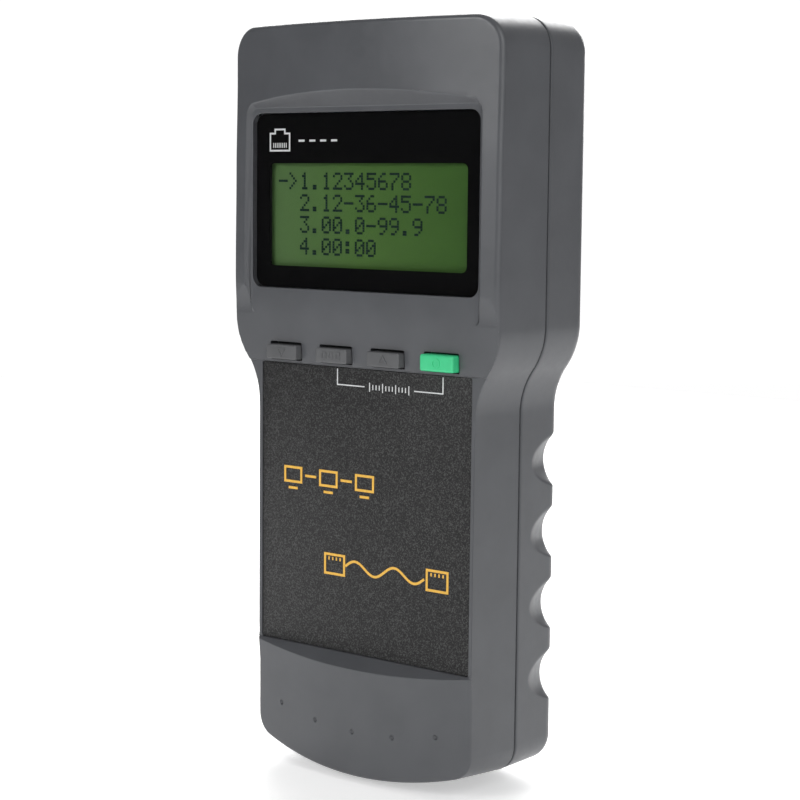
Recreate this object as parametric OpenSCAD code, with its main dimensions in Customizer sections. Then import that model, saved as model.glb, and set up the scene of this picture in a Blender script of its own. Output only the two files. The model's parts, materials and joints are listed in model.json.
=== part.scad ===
// Handheld network cable tester.
// Frame: X to the right, Y from the display to the back, Z up along the body.
// The origin is at the bottom centre of the whole tester's box.

/* [Case] */
// Overall height of the case
body_h = 186; // [180:1:195]
// Width of the head, which holds the display
head_w = 83.7; // [82:0.1:86]
// Width of the handle
grip_w = 69.8; // [68.5:0.1:71]
// Depth from the lens to the flat back
body_d = 35; // [35:0.5:40]
// Depth of the parting line behind the lens
parting = 18.3; // [18.3:0.1:18.6]
// Wall thickness of both shells
wall = 2.2; // [1.8:0.1:2.4]
// Height at which the head starts to narrow
shoulder_z = 113.6; // [112:0.2:115]
// Radius of the two arcs in each shoulder
shoulder_r = 17.7; // [16:0.1:20]
// Radius of the head's top corners
head_corner_r = 8; // [6:0.5:9]
// Radius of the curved bottom end
bottom_arc_r = 105; // [85:1:130]
// Radius of the bottom corners
bottom_corner_r = 7; // [5:0.5:8]

/* [Face] */
// Radius of the front's crown, which curves across the width
crown_r = 172; // [160:1:200]
// How far the middle of the forehead stands in front of the lens
forehead_proud = 4.6; // [4:0.1:5]
// How far the middle of the skirt stands in front of the lens
skirt_proud = 2; // [1.7:0.1:2.3]
// Width of the lens
lens_w = 70.2; // [68:0.1:71]
// Height of the lens
lens_h = 42.9; // [41:0.1:44]
// Height of the lens's lower edge above the bottom
lens_z = 120.8; // [120:0.1:122]
// Thickness of the lens
lens_t = 1.6; // [1.2:0.1:1.8]
// Width of the label plate
label_w = 65.6; // [60:0.1:66]
// Height of the label plate's lower edge above the bottom
label_z = 31.2; // [31:0.1:34]
// Height of the lip under the keys
lip_z = 102.3; // [102:0.1:102.4]

/* [Keys] */
// Distance between neighbouring keys
key_pitch = 16.25; // [15.5:0.05:17]
// Width of a key
key_w = 9.8; // [9:0.1:10.2]
// Height of a key
key_h = 3.6; // [3.4:0.1:3.8]
// How far a plain key stands in front of the lens
key_proud = 1.3; // [0.9:0.1:1.5]
// How far the power key stands in front of the lens
power_proud = 1.6; // [1.5:0.1:2]
// Height of the keys' middle above the bottom
key_z = 104.85; // [104.75:0.05:104.95]

/* [Grip] */
// Distance between neighbouring finger scallops
scallop_pitch = 17.85; // [17:0.05:18.5]
// Height of the lowest scallop above the bottom
scallop_z = 26.45; // [25.5:0.05:28]
// Radius of a scallop
scallop_r = 8.2; // [7.6:0.1:8.6]

/* [Battery] */
// Width of the 9 V battery
battery_w = 26.5; // [25.5:0.1:26.5]
// Depth of the 9 V battery
battery_d = 17.5; // [16.5:0.1:17.5]
// Length of the 9 V battery's case
battery_l = 46.4; // [46:0.1:46.6]

/* [Hidden] */
$fn = 96;
eps = 0.01;
past = 1;                      // how far a cutter runs past the surface it opens

// The modules below measure Y from the lens's front face, and in_frame() puts them in place.
lens_y = forehead_proud - (body_d + forehead_proud) / 2;
head_half = head_w / 2;
grip_half = grip_w / 2;
back_in = body_d - wall;       // inner face of the back wall

// Centres of the two arcs that make each shoulder, and of the bottom corners
shoulder_up = [head_half - shoulder_r, shoulder_z];
shoulder_run = 2 * shoulder_r - (head_half - grip_half);
shoulder_drop = sqrt(4 * shoulder_r * shoulder_r - shoulder_run * shoulder_run);
shoulder_low = [grip_half + shoulder_r, shoulder_z - shoulder_drop];
corner_x = grip_half - bottom_corner_r;
corner_reach = bottom_arc_r - bottom_corner_r;
corner_z = bottom_arc_r - sqrt(corner_reach * corner_reach - corner_x * corner_x);

// Rounded edges of the shells are built from thin layers
edge_steps = 6;
front_edge_steps = 3;
front_edge_r = 1.8;
back_edge_r = 3.5;

// Face levels, measured back from the lens
handle_face = 1.2;
label_face = 1.4;
label_t = 0.5;
chin_fall = 0.9;
chin_top = 112;
strip_z = [116, 121];          // where the strips beside the recess run out
strip_proud = 1;
recess_half = 35.5;
recess_top = 165.1;
step_slope = 0.8;              // rise of the sloping steps for each unit of depth
cutter_y = -6;                 // in front of everything
dimple_pitch = 12.33;
dimple_low = 12.6;
dimple_arc_r = 110;
window_w = 64.6;
window_h = 27.9;
window_z = 138.85;             // middle of the display

// Key levels
key_gap = 0.3;
flange_y = 3.35;
flange_t = 1;
power_h = key_h + 0.4;
plunger_y = 4.4;
plunger_r = 1.7;
switch_y = 5.4;
switch_s = 6;

// Board levels
board_t = 1.6;
display_board_y = 8.8;
main_board_y = 17;
main_back = main_board_y + board_t;
spacer_spots = [for (x = [-33.5, 33.5], z = [116, 165.5]) [x, z]];
boss_spots = [for (s = [-1, 1]) each [[s * 33.75, 178], [s * 27.5, 13.5]]];
screw_seat = 25;               // where a case screw's head seats
pin_pitch = 2.54;
pin_count = 8;
pin_z = 114.3;

// RJ45 sockets
jack_x = 12;
jack_w = 15.6;
jack_d = 12.9;
jack_l = 18;
jack_sheet = 0.25;
plug_w = 11.9;
plug_y = 21;
plug_d = 7;
plug_depth = 14;
latch_w = 6.4;
latch_d = 2.2;
contact_count = 8;
contact_pitch = 1.02;

// Battery bay
bay_half = 14.2;
bay_t = 1.5;
bay_y = 14.3;
bay_z = [23.5, 93];
ledge_half = 18.5;
door_half = 16.2;
door_z = [26.3, 91.7];
door_gap = 0.3;
door_y = back_in + door_gap;
tab_y = [31.2, 32.45];
tab_low = 24.2;
tab_w = 5;
tab_x = 9;
battery_y = bay_y;
battery_z = 31.5;
battery_top = battery_z + battery_l;
snap_z = battery_top + 2.5;
snap_t = 2.5;
lead_x = 4;
lead_y = 21;
lead_r = 0.7;
lead_bend = 2;

shell_grey = [0.38, 0.39, 0.40];
key_grey = [0.33, 0.33, 0.34];
key_green = [0.25, 0.80, 0.50];
board_green = [0.10, 0.35, 0.20];
metal = [0.75, 0.76, 0.78];
gold = [0.85, 0.68, 0.30];
part_black = [0.08, 0.08, 0.09];

module in_frame() {
  translate([0, lens_y, 0]) children();
}

// A flat outline drawn in X and Z, made solid from depth y0 to depth y1
module slab(y0, y1) {
  translate([0, y1, 0]) rotate([90, 0, 0]) linear_extrude(y1 - y0) children();
}

// A round bar along Y
module rod(x, z, r, y0, y1, sides = $fn) {
  translate([x, y0, z]) rotate([-90, 0, 0]) cylinder(h = y1 - y0, r = r, $fn = sides);
}

// A box from its middle in X, its Y span and its Z span
module block(x, half, y, z) {
  translate([x - half, y[0], z[0]]) cube([2 * half, y[1] - y[0], z[1] - z[0]]);
}

module mirror_x() {
  children();
  mirror([1, 0, 0]) children();
}

module disc(at, r) {
  translate(at) circle(r, $fn = 96);
}

// A rectangle with round corners, about the middle of X
module round_rect(w, z0, z1, r) {
  union() {
    translate([-w / 2 + r, z0]) square([w - 2 * r, z1 - z0]);
    translate([-w / 2, z0 + r]) square([w, z1 - z0 - 2 * r]);
    for (x = [-w / 2 + r, w / 2 - r], z = [z0 + r, z1 - r]) disc([x, z], r);
  }
}

// One half of the case's outline, drawn "inset" inside its edge
module half_outline(inset) {
  top_r = head_corner_r - inset;
  head_z = body_h - head_corner_r;
  // Head, down to the shoulder
  translate([-eps, shoulder_z]) square([head_half - inset + eps, head_z - shoulder_z]);
  translate([-eps, head_z - eps]) square([head_half - head_corner_r + eps, top_r + eps]);
  disc([head_half - head_corner_r, head_z], top_r);
  // Shoulder: a convex arc into a concave one
  intersection() {
    disc(shoulder_up, shoulder_r - inset);
    translate([0, shoulder_z - 2 * shoulder_r]) square([head_w, 2 * shoulder_r + eps]);
  }
  difference() {
    polygon([[-eps, shoulder_z + eps], [shoulder_up[0], shoulder_z + eps], shoulder_low,
             [-eps, shoulder_low[1]]]);
    disc(shoulder_low, shoulder_r + inset);
  }
  // Handle, and its curved bottom end
  translate([-eps, corner_z])
    square([grip_half - inset + eps, shoulder_low[1] - corner_z + eps]);
  disc([corner_x, corner_z], bottom_corner_r - inset);
  intersection() {
    disc([0, bottom_arc_r], bottom_arc_r - inset);
    polygon([[-eps, bottom_arc_r], [0, bottom_arc_r], [corner_x, corner_z],
             [corner_x * 1.2, corner_z - 0.2 * (bottom_arc_r - corner_z)], [-eps, -past]]);
  }
}

module outline(inset = 0) {
  mirror_x() half_outline(inset);
}

// The same outline, limited to a band of heights
module outline_band(inset, z0, z1) {
  intersection() {
    outline(inset);
    translate([-head_w, z0]) square([2 * head_w, z1 - z0]);
  }
}

// Layers that round an edge: the outline steps in as the depth nears "edge"
module rounded_edge(edge, r, away) {
  for (i = [0 : edge_steps - 1]) {
    turn = 90 * (i + 0.5) / edge_steps;
    inset = r * (1 - cos(turn));
    near = edge + away * r * (1 - sin(turn));
    far = edge + away * (r + eps);
    slab(min(near, far), max(near, far)) outline(inset);
  }
}

// Depth of the crowned front at x, where its middle stands "proud" of the lens
function crown_y(proud, x) = crown_r - proud - sqrt(crown_r * crown_r - x * x);

// Everything in front of the crown, whose curve is drawn as narrow flats
module before_crown(proud) {
  half = head_w / 2 + 5;
  steps = 24;
  curve = [for (i = [0 : steps]) let (x = half * (1 - 2 * i / steps)) [x, crown_y(proud, x)]];
  translate([0, 0, -past]) linear_extrude(body_h + 2 * past)
    polygon(concat([[-half, 2 * cutter_y], [half, 2 * cutter_y]], curve));
}

// The crowned front between two heights; layers round its edge
module crowned_front(proud, z0, z1) {
  for (i = [0 : front_edge_steps]) {
    turn = i < front_edge_steps ? 90 * (i + 0.5) / front_edge_steps : 0;
    difference() {
      slab(cutter_y, parting) outline_band(front_edge_r * (1 - cos(turn)), z0, z1);
      before_crown(proud - front_edge_r * (1 - sin(turn)));
    }
  }
}

// A side view, drawn in Y and Z, swept across the case
module across() {
  translate([-head_w, 0, 0]) rotate([90, 0, 90]) linear_extrude(2 * head_w) children();
}

// The flat recess for the lens and the chin, with steps that slope up to the forehead
module recess() {
  reach = -cutter_y * step_slope;
  intersection() {
    across() polygon([[0, lip_z - past], [0, recess_top], [cutter_y, recess_top + reach],
                      [cutter_y, lip_z - past]]);
    linear_extrude(body_h)
      polygon([[-recess_half, 0], [recess_half, 0], [recess_half + reach, cutter_y],
               [-recess_half - reach, cutter_y]]);
  }
}

function key_x(i) = (i - 1.5) * key_pitch;

module front_shell() {
  color(shell_grey) in_frame() difference() {
    union() {
      difference() {
        union() {
          crowned_front(forehead_proud, lip_z, body_h + past);
          crowned_front(skirt_proud, -past, lip_z);
        }
        slab(wall, parting + past) outline_band(wall, chin_top, body_h);
        slab(3, parting + past) outline_band(wall, 98, chin_top + eps);
        slab(wall + label_face, parting + past) outline_band(wall, 0, 98 + eps);
        // The crowned parts are hollow behind an even wall
        difference() {
          slab(cutter_y, wall + past) outline_band(wall + front_edge_r, recess_top + 7, body_h);
          before_crown(forehead_proud - wall);
        }
        difference() {
          slab(cutter_y, wall + label_face + past)
            outline_band(wall + front_edge_r, 0, label_z - 5);
          before_crown(skirt_proud - wall);
        }
      }
      for (at = boss_spots) rod(at[0], at[1], 3.6, at[1] > lip_z ? 0.1 : 1.8, parting - 0.1);
      for (at = spacer_spots) rod(at[0], at[1], 2.6, wall - eps, display_board_y);
    }
    // Recess, lens seat and display window
    recess();
    slab(-past, lens_t) round_rect(lens_w + 0.1, lens_z, lens_z + lens_h, 2.8);
    slab(lens_t - eps, wall + past)
      round_rect(window_w, window_z - window_h / 2, window_z + window_h / 2, 1.5);
    // The strips beside the recess run out, and the chin falls back towards the lip
    across() polygon([[cutter_y, strip_z[1]], [-strip_proud, strip_z[1]], [0, strip_z[0]],
                      [0, chin_top], [chin_fall, lip_z], [cutter_y, lip_z]]);
    // The sunken front of the handle, with a step that slopes down to the skirt
    across() polygon([[cutter_y, lip_z], [handle_face, lip_z], [handle_face, label_z],
                      [cutter_y, label_z - step_slope * (handle_face - cutter_y)]]);
    slab(0, label_face + label_t) round_rect(label_w + 0.1, label_z - 0.05, lip_z - 0.25, 0.6);
    // Key openings, taller above the keys
    for (i = [0 : 3])
      block(key_x(i), key_w / 2 + key_gap, [-past, wall + 2 * past],
            [key_z - key_h / 2 - key_gap, key_z - key_h / 2 + power_h + key_gap]);
    // Pilot holes for the case screws and the spacers
    for (at = boss_spots) rod(at[0], at[1], 1.45, 7, parting + past);
    for (at = spacer_spots) rod(at[0], at[1], 0.85, 4.5, display_board_y + past);
    // Five dimples across the skirt
    for (i = [-2 : 2]) {
      x = i * dimple_pitch;
      z = dimple_low + dimple_arc_r - sqrt(dimple_arc_r * dimple_arc_r - x * x);
      rod(x, z, 0.6, cutter_y, crown_y(skirt_proud, x) + 0.5);
    }
  }
}

// One finger scallop: a bar that leans in towards the back
module scallop(z) {
  lean = atan2(3.75, 11.8);
  start = 23.2;
  translate([grip_half, start, z]) rotate([0, 0, lean])
    translate([scallop_r, -6, 0]) rotate([-90, 0, 0]) cylinder(h = 34, r = scallop_r);
}

module jack_mouth(x) {
  block(x, jack_w / 2 + jack_sheet + 0.15, [parting - 0.1, main_back + jack_d + 0.6],
        [body_h - 2 * wall, body_h + past]);
}

module bay_outer() {
  block(0, bay_half + bay_t, [bay_y - bay_t, back_in + eps],
        [bay_z[0] - bay_t, bay_z[1] + bay_t]);
  block(0, ledge_half, [back_in - bay_t, back_in + eps], [bay_z[0] - bay_t, bay_z[1] + bay_t]);
}

module back_shell() {
  color(shell_grey) in_frame() difference() {
    union() {
      difference() {
        union() {
          slab(parting, body_d - back_edge_r) outline();
          rounded_edge(body_d, back_edge_r, -1);
        }
        // The handle's walls are thicker behind the scallops
        slab(parting - past, 22.5) outline(wall);
        slab(22, back_in) intersection() {
          outline(wall);
          union() {
            translate([-head_w, shoulder_low[1]]) square([2 * head_w, body_h]);
            translate([-29.3, 0]) square([58.6, body_h]);
          }
        }
      }
      bay_outer();
      for (at = boss_spots) rod(at[0], at[1], 4.2, parting, back_in + eps);
    }
    // Battery bay, door opening and the slot for the leads
    block(0, bay_half, [bay_y, back_in], [bay_z[0], bay_z[1]]);
    block(0, bay_half, [bay_y, body_d + past], [door_z[0] - door_gap, door_z[1] + door_gap]);
    block(0, door_half + door_gap, [back_in, body_d + past],
          [door_z[0] - door_gap, door_z[1] + door_gap]);
    block(0, 2 * lead_x, [lead_y - 3, lead_y + 3], [bay_z[1] - past, bay_z[1] + 2 * past + bay_t]);
    // Case screws: counterbore and clearance hole
    for (at = boss_spots) {
      rod(at[0], at[1], 3.1, screw_seat, body_d + past);
      rod(at[0], at[1], 1.65, parting - past, screw_seat + eps);
    }
    for (x = [-jack_x, jack_x]) jack_mouth(x);
    mirror_x() for (i = [0 : 3]) scallop(scallop_z + i * scallop_pitch);
  }
  // Rib that the battery stands on
  color(shell_grey) in_frame()
    block(0, bay_half + eps, [bay_y - eps, 28], [battery_z - 0.2 - bay_t, battery_z - 0.2]);
}

module display_lens() {
  color(part_black) in_frame()
    slab(0, lens_t) round_rect(lens_w, lens_z, lens_z + lens_h, 2.8);
}

module label_plate() {
  color(part_black) in_frame()
    slab(label_face, label_face + label_t) round_rect(label_w, label_z, lip_z - 0.3, 0.6);
}

// Key i, with its face, its captive flange and the post behind it
module key(i, h, proud) {
  in_frame() {
    block(key_x(i), key_w / 2, [-proud, flange_y + eps], [key_z - key_h / 2, key_z - key_h / 2 + h]);
    block(key_x(i), key_w / 2 + 1.3, [flange_y, flange_y + flange_t], [key_z - 3, key_z + 3]);
  }
}

module key_down() { color(key_grey) key(0, key_h, key_proud); }
module key_pair() { color(key_grey) key(1, key_h, key_proud); }
module key_up() { color(key_grey) key(2, key_h, key_proud); }
module key_power() { color(key_green) key(3, power_h, power_proud); }

// Plunger of the tact switch behind key i
module plunger(i) {
  color(part_black) in_frame() rod(key_x(i), key_z, plunger_r, plunger_y, plunger_y + 2.2);
}

module plunger_down() { plunger(0); }
module plunger_pair() { plunger(1); }
module plunger_up() { plunger(2); }
module plunger_power() { plunger(3); }

module key_switches() {
  color(metal) in_frame() for (i = [0 : 3]) difference() {
    block(key_x(i), switch_s / 2, [switch_y, display_board_y],
          [key_z - switch_s / 2, key_z + switch_s / 2]);
    rod(key_x(i), key_z, plunger_r + 0.1, switch_y - past, 7.6);
  }
}

module lcd_bezel() {
  sheet = 0.5;
  half_h = 18.2;
  color(metal) in_frame() difference() {
    block(0, 35.2, [wall + 0.3, display_board_y], [window_z - half_h, window_z + half_h]);
    block(0, 35.2 - sheet, [wall + 0.3 + sheet, display_board_y + past],
          [window_z - half_h + sheet, window_z + half_h - sheet]);
    block(0, 31.4, [0, display_board_y], [window_z - 13.1, window_z + 13.1]);
  }
}

module lcd_glass() {
  color([0.55, 0.70, 0.35]) in_frame()
    block(0, 34, [3.1, 5.3], [window_z - 16.9, window_z + 16.9]);
}

module lcd_backlight() {
  color([0.9, 0.9, 0.85]) in_frame()
    block(0, 34, [5.4, display_board_y - 0.1], [window_z - 16.9, window_z + 16.9]);
}

module pin_row(y0, y1, side) {
  for (i = [0 : pin_count - 1])
    block((i - (pin_count - 1) / 2) * pin_pitch, side / 2, [y0, y1],
          [pin_z - side / 2, pin_z + side / 2]);
}

module display_board() {
  y1 = display_board_y + board_t;
  color(board_green) in_frame() difference() {
    union() {
      block(0, 36.6, [display_board_y, y1], [110, 170]);
      block(0, 31.5, [display_board_y, y1], [98.6, 110 + eps]);
    }
    for (at = spacer_spots) rod(at[0], at[1], 1, display_board_y - past, y1 + past);
    pin_row(display_board_y - past, y1 + past, 0.8);
  }
}

module main_board() {
  color(board_green) in_frame() difference() {
    union() {
      block(0, 37.5, [main_board_y, main_back], [111, 171.5]);
      block(0, 27.5, [main_board_y, main_back], [171.5 - eps, 183]);
    }
    for (at = spacer_spots) rod(at[0], at[1], 1, main_board_y - past, main_back + past);
    pin_row(main_board_y - past, main_back + past, 0.8);
  }
}

module board_spacers() {
  color(gold) in_frame() for (at = spacer_spots) difference() {
    union() {
      rod(at[0], at[1], 2.5, display_board_y + board_t, main_board_y, 6);
      rod(at[0], at[1], 0.8, 5, display_board_y + board_t + eps);
    }
    rod(at[0], at[1], 0.85, 12.5, main_board_y + past);
  }
}

// A screw along Y: its head reaches back from the seat, its shank forward from it
module screw(at, seat, head_r, head_t, shank_r, shank_l) {
  difference() {
    union() {
      rod(at[0], at[1], head_r, seat, seat + head_t);
      rod(at[0], at[1], shank_r, seat - shank_l, seat + eps);
    }
    for (turn = [0, 90])
      translate([at[0], seat + head_t, at[1]]) rotate([0, turn, 0])
        cube([head_r * 1.2, head_t, head_r * 0.3], center = true);
  }
}

module board_screws() {
  color(metal) in_frame() for (at = spacer_spots) screw(at, main_back, 1.9, 1.3, 0.8, 5);
}

module case_screws() {
  color(metal) in_frame() for (at = boss_spots) screw(at, screw_seat, 2.8, 2, 1.4, 16);
}

module header_block() {
  color(part_black) in_frame() difference() {
    block(0, pin_count * pin_pitch / 2, [display_board_y + board_t, main_board_y],
          [pin_z - 1.25, pin_z + 1.25]);
    pin_row(display_board_y, main_back, 0.8);
  }
}

module header_pins() {
  color(gold) in_frame() pin_row(display_board_y - 0.8, main_back + 1.5, 0.64);
}

module jack_housing(x) {
  color(part_black) in_frame() difference() {
    block(x, jack_w / 2, [main_back, main_back + jack_d], [body_h - jack_l, body_h]);
    block(x, plug_w / 2, [plug_y, plug_y + plug_d], [body_h - plug_depth, body_h + past]);
    block(x, latch_w / 2, [plug_y, plug_y + plug_d + latch_d],
          [body_h - plug_depth, body_h + past]);
  }
}

// Sheet metal round the socket's two sides, its back and its inner end
module jack_shield(x) {
  far = main_back + jack_d;
  color(metal) in_frame() difference() {
    block(x, jack_w / 2 + jack_sheet, [main_back, far + jack_sheet],
          [body_h - jack_l - jack_sheet, body_h]);
    block(x, jack_w / 2, [main_back - past, far], [body_h - jack_l, body_h + past]);
  }
}

// Eight spring contacts that lean into the plug space
module jack_contacts(x) {
  color(gold) in_frame() for (i = [0 : contact_count - 1])
    translate([x + (i - (contact_count - 1) / 2) * contact_pitch, plug_y + 0.3, body_h - 2])
      rotate([7, 0, 0]) translate([-0.2, 0, -10]) cube([0.4, 0.3, 10]);
}

module jack_main_housing() { jack_housing(-jack_x); }
module jack_main_shield() { jack_shield(-jack_x); }
module jack_main_contacts() { jack_contacts(-jack_x); }
module jack_loop_housing() { jack_housing(jack_x); }
module jack_loop_shield() { jack_shield(jack_x); }
module jack_loop_contacts() { jack_contacts(jack_x); }

module controller_chip() {
  color(part_black) in_frame() block(-16, 7, [main_back, main_back + 1.6], [136, 150]);
}

module line_drivers() {
  color(part_black) in_frame() for (x = [4, 13, 22])
    block(x, 2, [main_back, main_back + 1.5], [152, 162]);
}

module crystal() {
  color(metal) in_frame() block(-28, 2.3, [main_back, main_back + 3.5], [138, 149]);
}

module buzzer() {
  color(part_black) in_frame() difference() {
    rod(14, 134, 6, main_back, main_back + 8);
    rod(14, 134, 1, main_back + 4, main_back + 8 + past);
  }
}

module capacitors() {
  color([0.15, 0.2, 0.45]) in_frame() for (z = [121, 130, 139])
    rod(30, z, 3.1, main_back, main_back + 9);
}

module battery() {
  color([0.12, 0.12, 0.13]) in_frame()
    slab(battery_y + eps, battery_y + battery_d)
      round_rect(battery_w, battery_z, battery_top, 1.5);
}

// Snap terminals of the battery: one stud and one socket
module battery_terminals() {
  mid = battery_y + battery_d / 2;
  color(metal) in_frame() for (side = [-1, 1])
    translate([side * 6.35, mid, battery_top]) cylinder(h = 2.4, r = side < 0 ? 2.9 : 3.8);
}

module battery_snap() {
  mid = battery_y + battery_d / 2;
  color(part_black) in_frame() block(0, 12.5, [mid - 5, mid + 5], [snap_z, snap_z + snap_t]);
}

// A lead: up from the snap, round a bend, and into the back of the main board
module lead(x) {
  top = 120;
  snap_top = snap_z + snap_t;
  in_frame() {
    translate([x, lead_y, snap_top]) cylinder(h = top - lead_bend - snap_top, r = lead_r);
    translate([x, lead_y - lead_bend, top - lead_bend]) rotate([90, 0, 90])
      rotate_extrude(angle = 90) translate([lead_bend, 0]) circle(lead_r);
    rod(x, top, lead_r, main_back, lead_y - lead_bend);
  }
}

module lead_red() { color("red") lead(-lead_x); }
module lead_black() { color(part_black) lead(lead_x); }

module battery_door() {
  color(shell_grey) in_frame() difference() {
    union() {
      slab(door_y, body_d) round_rect(2 * door_half, door_z[0], door_z[1], 1);
      for (x = [-tab_x, tab_x]) {
        block(x, tab_w / 2, tab_y, [tab_low, door_z[0] + 3]);
        block(x, tab_w / 2, [tab_y[0], door_y + eps], [door_z[0] + 0.2, door_z[0] + 3]);
      }
    }
    // Thumb hollow with ridges left standing, near the top of the door
    for (i = [0 : 4])
      block(0, 7, [body_d - 0.8, body_d + past], [door_z[1] - 6 - 2 * i, door_z[1] - 5 - 2 * i]);
  }
}

module battery_pad() {
  color([0.2, 0.2, 0.2]) in_frame()
    block(0, 9, [battery_y + battery_d + 0.05, door_y], [45, 70]);
}

front_shell();
back_shell();
display_lens();
label_plate();
key_down();
key_pair();
key_up();
key_power();
plunger_down();
plunger_pair();
plunger_up();
plunger_power();
key_switches();
lcd_bezel();
lcd_glass();
lcd_backlight();
display_board();
main_board();
board_spacers();
board_screws();
header_block();
header_pins();
jack_main_housing();
jack_main_shield();
jack_main_contacts();
jack_loop_housing();
jack_loop_shield();
jack_loop_contacts();
controller_chip();
line_drivers();
crystal();
buzzer();
capacitors();
battery();
battery_terminals();
battery_snap();
lead_red();
lead_black();
battery_door();
battery_pad();
case_screws();
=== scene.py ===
"""Handheld network cable tester: the visual model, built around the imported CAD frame.

Shapes are worked out in millimetres. X and Z are the frame's own, and Y is measured back from the
lens's front face, as depth. place() turns such a point into the frame's metres.
"""
import json
import math

import bmesh
import bpy
from mathutils import Matrix, Vector
from mathutils.bvhtree import BVHTree
from mathutils.interpolate import poly_3d_calc


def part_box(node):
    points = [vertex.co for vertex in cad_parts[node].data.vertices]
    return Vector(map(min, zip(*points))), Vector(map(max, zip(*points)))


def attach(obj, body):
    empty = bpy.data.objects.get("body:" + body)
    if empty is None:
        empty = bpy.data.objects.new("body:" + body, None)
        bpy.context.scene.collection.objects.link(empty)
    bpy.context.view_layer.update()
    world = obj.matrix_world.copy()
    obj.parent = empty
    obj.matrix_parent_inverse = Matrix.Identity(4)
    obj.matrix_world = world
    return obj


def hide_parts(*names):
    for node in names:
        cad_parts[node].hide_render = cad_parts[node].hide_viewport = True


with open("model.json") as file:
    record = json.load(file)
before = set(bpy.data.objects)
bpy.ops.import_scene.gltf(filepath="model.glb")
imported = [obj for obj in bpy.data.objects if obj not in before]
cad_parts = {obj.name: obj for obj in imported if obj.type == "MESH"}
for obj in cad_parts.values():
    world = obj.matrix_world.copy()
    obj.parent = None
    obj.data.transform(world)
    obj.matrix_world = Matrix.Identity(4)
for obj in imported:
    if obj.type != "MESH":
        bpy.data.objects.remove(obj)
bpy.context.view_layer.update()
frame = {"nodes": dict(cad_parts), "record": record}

MM = 0.001
CASE = "case"


# ---------------------------------------------------------------- sizes, read from the frame
def span(node):
    """A CAD node's box in millimetres, with Y as depth behind the lens."""
    low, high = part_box(node)
    shift = Vector((0, LENS_Y, 0))
    return (low - shift) / MM, (high - shift) / MM


def widest(node, low, high):
    """Half the width of a CAD node between two heights, in millimetres."""
    verts = frame["nodes"][node].data.vertices
    return max(abs(v.co.x) for v in verts if low <= v.co.z / MM <= high) / MM


def place(x, depth, z):
    """A point in the frame's own metres, from millimetres and depth."""
    return Vector((x * MM, LENS_Y + depth * MM, z * MM))


LENS_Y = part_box("display_lens")[0].y
LENS = span("display_lens")
LABEL = span("label_plate")
DOOR = span("battery_door")
BODY_H = span("back_shell")[1].z
BACK = span("back_shell")[1].y
HEAD = span("back_shell")[1].x
PARTING = min(v.co.y / MM for v in frame["nodes"]["back_shell"].data.vertices
              if v.co.x / MM > HEAD - 0.5) - LENS_Y / MM
GRIP = widest("back_shell", 5, 60)
FOREHEAD = -span("front_shell")[0].y
LIP_Z = LABEL[1].z + 0.3

# The case's outline: the same arcs as the CAD shells
HEAD_CORNER_R = 8
SHOULDER_R = 17.7
SHOULDER_Z = 113.6
BOTTOM_R = 105
BOTTOM_CORNER_R = 7
SHOULDER_RUN = 2 * SHOULDER_R - (HEAD - GRIP)
SHOULDER_UP = (HEAD - SHOULDER_R, SHOULDER_Z)
SHOULDER_LOW = (GRIP + SHOULDER_R, SHOULDER_Z - math.sqrt(4 * SHOULDER_R ** 2 - SHOULDER_RUN ** 2))
CORNER_X = GRIP - BOTTOM_CORNER_R
CORNER_Z = BOTTOM_R - math.sqrt((BOTTOM_R - BOTTOM_CORNER_R) ** 2 - CORNER_X ** 2)

BEFORE = -6.0           # in front of the whole case
BESIDE = 60.0           # to the side of the whole case
WALL = 2.2
DRAFT = 0.6             # how much the front's walls lean in, from the parting line to the face
GRIP_DRAFT = 1.05       # the same along the handle
END_DRAFT = 0.35        # how much more the front's two ends lean in
HEAD_EDGE_R = 1.2
GRIP_EDGE_R = 0.8
BACK_EDGE_R = 3.5
EDGE_ROUND = 0.2        # the small round edge on every other crease
SEAM = 0.19             # half the width of the groove at the parting line
TONGUE = 1.3            # the front's tongue and the back's rebate, in from the outline
REBATE = 1.2
HANDLE_FACE = 1.2
CHIN_FALL = 0.9
RECESS_HALF = 35.5
RECESS_LOW = 114.0
RECESS_TOP = 165.1
RECESS_CORNER_R = 2
RUNOUT = 1.7            # the strips beside the recess run out over this depth and height
RUNOUT_RISE = 8
STEP_SLOPE = 0.8        # rise of the sloping steps for each unit of depth
FACE_INSIDE = 3.6       # depth of the front wall's inner face, and of the thinner one in the head
HEAD_FACE_INSIDE = 2.2

# The front is crowned across its width. Its middle stands this far above the lens at each height
CROWN_R = 182
PROUD = ((0, 2.0), (24, 2.0), (34, 2.7), (87, 2.7), (102, 4.2), (113, 4.8), (124, 5.2),
         (150, 4.95), (172, FOREHEAD), (200, FOREHEAD))
COLUMNS = 32            # columns of the grid that closes the front

# The display module: its window in the lens and its opening in the case
WINDOW_Z = LENS[0].z + 18.05
WINDOW_W = 61.5
WINDOW_H = 25.3
WINDOW_CORNER_R = 1.5
MODULE_W = 64.6
MODULE_H = 27.9
LENS_CORNER_R = 2.8
LENS_PLAY = 0.08
LENS_SEAT = 1.62        # depth of the ledge under the lens
LABEL_CORNER_R = 0.6
LABEL_PLAY = 0.1

# Finger scallops: round bars that lean in towards the back
SCALLOP_Z = 26.45
SCALLOP_PITCH = 17.85
SCALLOP_COUNT = 4
SCALLOP_START = 23.2
SCALLOP_R = 8.2
SCALLOP_LEAN = 3.75 / 11.8
SCALLOP_BLEND = 0.45

SCREWS = ((-33.75, 178), (33.75, 178), (-27.5, 13.5), (27.5, 13.5))
SCREW_HEAD_R = 3.1
SCREW_HOLE_R = 1.65
SCREW_SEAT = 25.0
FRONT_POST_R = 3.6
BACK_POST_R = 4.2


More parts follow.
